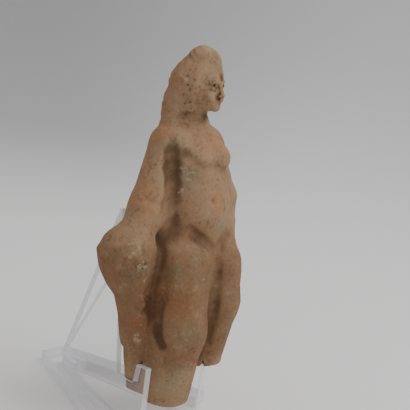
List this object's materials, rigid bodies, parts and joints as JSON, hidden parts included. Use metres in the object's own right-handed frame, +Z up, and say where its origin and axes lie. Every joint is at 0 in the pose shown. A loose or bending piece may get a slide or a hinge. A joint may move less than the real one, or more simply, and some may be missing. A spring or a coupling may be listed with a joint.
{
  "type": "terracotta figurine on an easel",
  "caption": "Standing nude terracotta female figurine with broken legs and draped hip, held upright on a clear acrylic display easel.",
  "frame": {"origin": "middle of the whole object's box, on the surface that the easel stands on", "axes": "+Z up, the figure faces -Y, the figure's right side is towards -X"},
  "size_m": [0.0824, 0.1146, 0.195],
  "materials": {
    "terracotta": "matt, weathered and stained",
    "acrylic": "clear, polished"
  },
  "bodies": {
    "root": {"terracotta_figure": "terracotta", "easel_foot": "acrylic", "easel_upright": "acrylic"}
  },
  "joints": []
}
